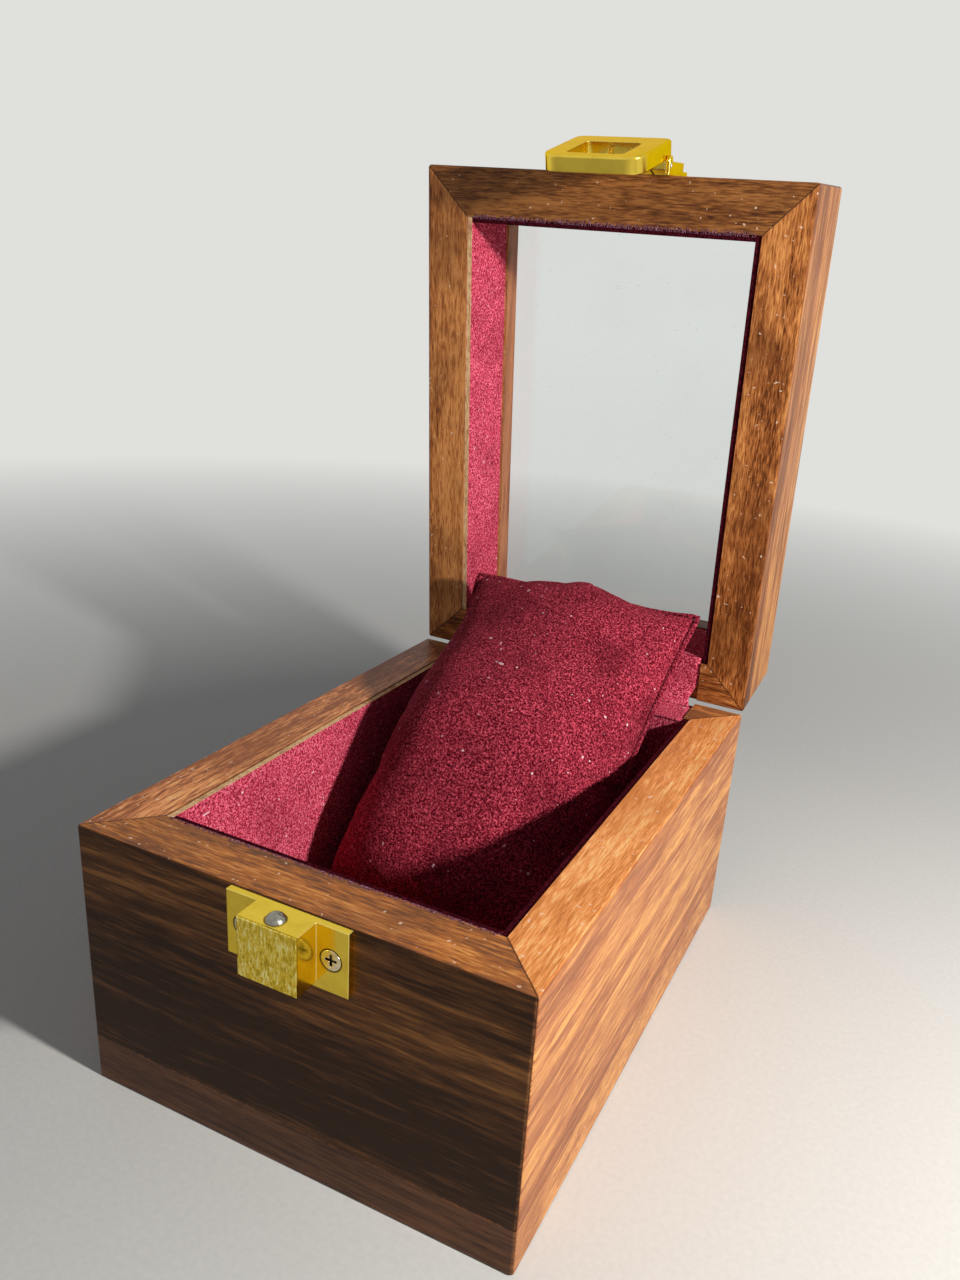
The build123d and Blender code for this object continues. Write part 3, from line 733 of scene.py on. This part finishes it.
def inflate(obj):
    """Swells a bag with Cloth pressure and keeps the result as its mesh."""
    modifier = obj.modifiers.new("cloth", "CLOTH")
    cloth = modifier.settings
    cloth.quality = 8
    cloth.mass = 0.2
    cloth.tension_stiffness = cloth.compression_stiffness = 22
    cloth.shear_stiffness = 8
    cloth.bending_stiffness = 0.35
    cloth.air_damping = 4
    cloth.use_pressure = True
    cloth.uniform_pressure_force = 4.5
    cloth.effector_weights.gravity = 0
    modifier.collision_settings.use_collision = False
    modifier.point_cache.frame_end = INFLATE_FRAMES
    scene = bpy.context.scene
    for frame_number in range(1, INFLATE_FRAMES + 1):
        scene.frame_set(frame_number)
    apply_modifiers(obj)
    scene.frame_set(1)


def pillow_point(u, v, lift):
    """A point of the cover. lift is the inflated bag's height there, from -1 to 1."""
    pull = SIDE_PULL * (1 - abs(v) ** 3) * abs(u)
    x = PILLOW_HALF.x * u - math.copysign(pull, u)
    y = PILLOW_HALF.y * v - math.copysign(END_PULL * (1 - abs(u) ** 3) * abs(v), v)
    even = swell(u, SWELL_ACROSS) * swell(v, SWELL_TOP if v > 0 else SWELL_FOOT)
    w = INFLATED_SHARE * lift + math.copysign((1 - INFLATED_SHARE) * even, lift)
    belly = BELLY * smooth_step(-v, *BELLY_RISE) * (1 - BELLY_LEAN * u) * (w > 0)
    z = PILLOW_HALF.z * w * (1 + belly)

    above = max(w, 0.0)
    crown = CROWN * math.exp(hill(u, CROWN_AT, CROWN_LEFT if u < CROWN_AT else CROWN_RIGHT))
    crown *= smooth_step(v, *CROWN_RISE)
    y += crown * (CROWN_UNDER + (1 - CROWN_UNDER) * min(1.0, above * 3))
    z += CROWN_LIFT * crown * above

    ear = smooth_step(-u, *EAR_RISE) * smooth_step(v, *EAR_RISE)
    x, y = x - EAR_ACROSS * ear, y - EAR_ALONG * ear

    dent = sum(
        share * math.exp(hill(u, at_u, spread_u) + hill(v, at_v, spread_v))
        for at_u, spread_u, at_v, spread_v, share in DENTS
    )
    soft = noise.noise(Vector((u * 1.9, v * 2.6, 3.0 * (z > 0))))
    inside = max(0.0, 1 - u * u) ** 0.3 * (1 if z > 0 else 0.3)
    return in_place(x, y, z + (SOFT_DEPTH * soft - DENT_DEPTH * dent) * inside)


def pillow_points(points, index):
    """The bag's points, fitted to the pillow between the bag's own edges."""
    tall = max(abs(p.z) for p in points)
    left = [points[index[1, 0, j]].x for j in range(ROWS + 1)]
    right = [points[index[1, COLUMNS, j]].x for j in range(ROWS + 1)]
    foot = [points[index[1, i, 0]].y for i in range(COLUMNS + 1)]
    top = [points[index[1, i, ROWS]].y for i in range(COLUMNS + 1)]
    placed = [None] * len(points)
    for (_, i, j), k in index.items():
        p = points[k]
        u = (2 * p.x - left[j] - right[j]) / (right[j] - left[j])
        v = (2 * p.y - foot[i] - top[i]) / (top[i] - foot[i])
        placed[k] = pillow_point(u, v, p.z / tall)
    return placed


def pillow_cover():
    """The cover, and the points of its edge, in order."""
    points, faces, index, border = flat_bag(BAG_PUFF)
    bag = mesh_object("pillow_cover", points, faces, pillow_velvet)
    inflate(bag)
    placed = pillow_points([v.co.copy() for v in bag.data.vertices], index)
    bag.data.vertices.foreach_set("co", [c for p in placed for c in p])
    bag.data.update()
    smooth = bag.modifiers.new("smooth", "SUBSURF")
    smooth.levels = smooth.render_levels = 1
    apply_modifiers(bag)
    for polygon in bag.data.polygons:
        polygon.use_smooth = True
    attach(bag, "pillow")
    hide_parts("pillow")
    return [placed[i] for i in border]


def pillow_seam(line, outward):
    """A slightly wavy roll round the cover's edge."""
    verts, faces = [], []
    for i, (point, away) in enumerate(zip(line, outward)):
        wave = noise.noise(point * SEAM_WAVES)
        middle = point + away * (SEAM_WIDTH / 2 - SEAM_TUCK) + OUT * (SEAM_RISE * wave)
        half_width = SEAM_WIDTH / 2 + SEAM_SPREAD * wave
        verts += ring(middle, away, OUT, half_width, SEAM_THICKNESS / 2, SEAM_SIDES)
        faces += sleeve(i * SEAM_SIDES, (i + 1) % len(line) * SEAM_SIDES, SEAM_SIDES)
    edge = mesh_object("pillow_seam", verts, faces, pillow_velvet)
    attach(edge, "pillow")


def pillow_stitches(line, outward):
    """Short threads in the groove between the seam and the cover."""
    verts, faces = [], []
    for i, (point, away) in enumerate(zip(line, outward)):
        step = line[(i + 1) % len(line)] - point
        pieces = max(1, round(step.length / STITCH_PITCH))
        reach = step.normalized() * min(step.length / pieces * STITCH_SHARE, STITCH_LENGTH)
        for part in range(pieces):
            start = point + step * (part / pieces) + away * STITCH_OUT
            start += OUT * (SEAM_THICKNESS / 2 + STITCH_UP)
            first = len(verts)
            second = first + THREAD_SIDES
            for end in (start, start + reach):
                verts += ring(end, away, OUT, THREAD_RADIUS, THREAD_RADIUS, THREAD_SIDES)
            faces += sleeve(first, second, THREAD_SIDES)
            faces += [tuple(reversed(range(first, second))), tuple(range(second, len(verts)))]
    stitches = mesh_object("pillow_stitches", verts, faces, thread_velvet)
    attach(stitches, "pillow")


seam_line = pillow_cover()
seam_outward = [
    (seam_line[(i + 1) % len(seam_line)] - seam_line[i - 1]).normalized().cross(OUT).normalized()
    for i in range(len(seam_line))
]
pillow_seam(seam_line, seam_outward)
pillow_stitches(seam_line, seam_outward)

# ---- hinge cloth -------------------------------------------------------------------------------

CLOTH_THICKNESS = 0.5 * MM
CLOTH_NARROWING = 1.5 * MM  # how far each side draws in on the bridge
CLOTH_COLUMNS = 60
GLUED_ROWS, BRIDGE_ROWS = 14, 16
NARROW_ROW, NARROW_REACH = 21, 13  # its narrowest row, and how many on each side draw in with it
CLOTH_INSET = 0.1 * MM  # how far its ends stay inside the CAD cloth's
LEAVES_BASE = 1.1 * MM  # where it comes off the base's rim, from the CAD cloth's rear edge
LEAVES_LID = 7.5 * MM  # where it comes off the lid's rim, from its own upper end
BRIDGE_PULL = 0.3 * MM
RIPPLE = 0.05 * MM


def bezier(points, t):
    a, b, c, d = points
    return a * (1 - t) ** 3 + b * 3 * t * (1 - t) ** 2 + c * 3 * t * t * (1 - t) + d * t**3


def hinge_cloth():
    """One strip of velvet, glued along both rear rims, that bridges the hinge before its barrels."""
    low, high = corners("base_hinge_cloth")
    lid_low, lid_high = corners("lid_hinge_cloth")
    half = high.x
    start = Vector((0, low.y + CLOTH_INSET, high.z - CLOTH_THICKNESS / 2))
    leave = Vector((0, high.y - LEAVES_BASE, start.z))
    lid_end = Vector((0, lid_low.y, lid_high.z))
    end = lid_end + INTO_LID * (CLOTH_THICKNESS / 2) - UP_LID * CLOTH_INSET
    meet = end - UP_LID * LEAVES_LID
    bridge = (leave, leave + Vector((0, BRIDGE_PULL, 0)), meet - UP_LID * BRIDGE_PULL, meet)
    path = [start.lerp(leave, k / GLUED_ROWS) for k in range(GLUED_ROWS)]
    path += [bezier(bridge, k / BRIDGE_ROWS) for k in range(BRIDGE_ROWS)]
    path += [meet.lerp(end, k / GLUED_ROWS) for k in range(GLUED_ROWS + 1)]

    rows, row_size = len(path), CLOTH_COLUMNS + 1
    verts, faces = [], []
    for side in (1, -1):
        for j, p in enumerate(path):
            along = (path[min(j + 1, rows - 1)] - path[max(j - 1, 0)]).normalized()
            out = ACROSS.cross(along)
            drawn_in = max(0.0, 1 - abs((j - NARROW_ROW) / NARROW_REACH)) ** 1.3
            for i in range(row_size):
                u = 2 * i / CLOTH_COLUMNS - 1
                ripple = RIPPLE * noise.noise(Vector((u * 9, j * 0.2, 0)))
                x = u * (half - CLOTH_NARROWING * drawn_in)
                verts.append(p + ACROSS * x + out * (side * CLOTH_THICKNESS / 2 + ripple))
    layer = rows * row_size
    for j in range(rows - 1):
        for i in range(CLOTH_COLUMNS):
            a = j * row_size + i
            quad = (a, a + 1, a + row_size + 1, a + row_size)
            faces += [quad, tuple(layer + k for k in reversed(quad))]
    rim = list(range(CLOTH_COLUMNS))
    rim += [j * row_size + CLOTH_COLUMNS for j in range(rows - 1)]
    rim += [(rows - 1) * row_size + i for i in range(CLOTH_COLUMNS, 0, -1)]
    rim += [j * row_size for j in range(rows - 1, 0, -1)]
    for k, a in enumerate(rim):
        b = rim[(k + 1) % len(rim)]
        faces.append((b, a, layer + a, layer + b))

    strip = mesh_object("hinge_cloth", verts, faces, liner_velvet)
    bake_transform(strip)
    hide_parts("base_hinge_cloth", "lid_hinge_cloth")


hinge_cloth()

# ---- loose pile --------------------------------------------------------------------------------

FIBRE_PITCH, FIBRE_RADIUS, FIBRE_SIDES = 0.12 * MM, 0.065 * MM, 3
FIBRE_ROOT = 0.4 * MM  # how far inside the liner it starts
FIBRE_KNEE = 0.4  # how far along it bends
FIBRE_REACH, FIBRE_LOW, FIBRE_HIGH = 0.7, -0.04, 0.02  # in mm
RIM_STEP = 0.25 * MM  # how far the liners stop short of the rims


def loose_pile(name, body, start, end, over, out):
    """Loose fibres of pile along an edge of a liner, combed over the wood beside it."""
    run = (end - start).normalized()
    verts, faces = [], []
    for _ in range(round((end - start).length / FIBRE_PITCH)):
        root = start.lerp(end, rng.random()) + out * RIM_STEP
        reach = over * rng.uniform(0.0, FIBRE_REACH) * MM
        reach += run * rng.uniform(-FIBRE_REACH, FIBRE_REACH) * MM
        rise = out * rng.uniform(FIBRE_LOW, FIBRE_HIGH) * MM
        foot = root - over * FIBRE_ROOT - out * RIM_STEP
        knee = root + reach * FIBRE_KNEE + rise
        tip = root + reach + rise * rng.random()
        first = len(verts)
        for p in (foot, knee, tip):
            verts += ring(p, run, out, FIBRE_RADIUS, FIBRE_RADIUS, FIBRE_SIDES)
        for j in (first, first + FIBRE_SIDES):
            faces += sleeve(j, j + FIBRE_SIDES, FIBRE_SIDES)
    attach(mesh_object(name, verts, faces, fibre_velvet), body)


def both_loose_piles():
    """The fibres along the front liners of the base and the lid."""
    low, high = corners("base_front_liner")
    start, end = Vector((low.x, low.y, high.z)), Vector((high.x, low.y, high.z))
    loose_pile("base_loose_pile", "base", start, end, Vector((0, -1, 0)), Vector((0, 0, 1)))
    low, high = corners("lid_front_liner")
    edge_z = high.z - (high.y - low.y) / math.tan(LID_TILT)
    start, end = Vector((low.x, low.y, edge_z)), Vector((high.x, low.y, edge_z))
    loose_pile("lid_loose_pile", "lid", start, end, UP_LID, ACROSS.cross(UP_LID))


both_loose_piles()

# ---- floor, backdrop and light -----------------------------------------------------------------

BACKDROP = colour(224, 224, 221)
FLOOR = tones((208, 208, 206), (214, 214, 212))
FLOOR_FADE = (0.17, 0.62)  # the distances between which it runs into the backdrop, in metres
FLOOR_HALF = 4.0
SKY_COLOUR, SKY_STRENGTH = (0.97, 0.98, 1.0, 1), 0.19
LAMP_PLACE = Vector((330, -73, 215)) * MM
LAMP_TARGET = Vector((0, 20, 50)) * MM
LAMP_SIZE, LAMP_POWER, LAMP_COLOUR = 30 * MM, 1.86, (1.0, 0.97, 0.92)


def pale_floor():
    """A pale matt floor that glows in the backdrop's own tone further out."""
    s = Shader("floor_pale")
    fine = s.ramp(s.noise(s.place(), scale=900, detail=2), *zip((0.3, 0.7), FLOOR))
    matt = s.add("BsdfPrincipled", Base_Color=fine, Roughness=0.9, Specular_IOR_Level=0.1)
    far = s.add("Emission", Color=BACKDROP, Strength=1.0)
    away = s.ramp(s.length(s.place()), *zip(FLOOR_FADE, (0.0, 1.0)))
    return s.finish(s.mix_shaders(away, matt, far))


def studio_world():
    """A dim even sky, which camera, glossy and transmission rays see as the backdrop."""
    world = bpy.data.worlds.new("studio")
    bpy.context.scene.world = world
    world.use_nodes = True
    s = NodeTree(world.node_tree)
    camera_ray, glossy_ray, through_ray = (
        s.add("LightPath", output=f"Is {kind} Ray") for kind in ("Camera", "Glossy", "Transmission")
    )
    seen = s.larger(camera_ray, s.larger(glossy_ray, through_ray))
    sky = s.add("Background", Color=SKY_COLOUR, Strength=SKY_STRENGTH)
    backdrop = s.add("Background", Color=BACKDROP, Strength=1.0)
    s.end("World", s.mix_shaders(seen, sky, backdrop))


def key_lamp():
    """A small near lamp to the right of the box, which gives its hard shadows."""
    data = bpy.data.lights.new("key", "AREA")
    data.shape = "DISK"
    data.size = LAMP_SIZE
    data.energy = LAMP_POWER
    data.color = LAMP_COLOUR
    obj = bpy.data.objects.new("key", data)
    bpy.context.scene.collection.objects.link(obj)
    obj.location = LAMP_PLACE
    obj.rotation_euler = (LAMP_TARGET - LAMP_PLACE).to_track_quat("-Z", "Y").to_euler()


square = ((-1, -1), (1, -1), (1, 1), (-1, 1))
floor_corners = [(x * FLOOR_HALF, y * FLOOR_HALF, 0) for x, y in square]
floor = mesh_object("floor", floor_corners, [(0, 1, 2, 3)], pale_floor(), smooth=False)
studio_world()
key_lamp()

bpy.context.scene.view_settings.view_transform = "Standard"
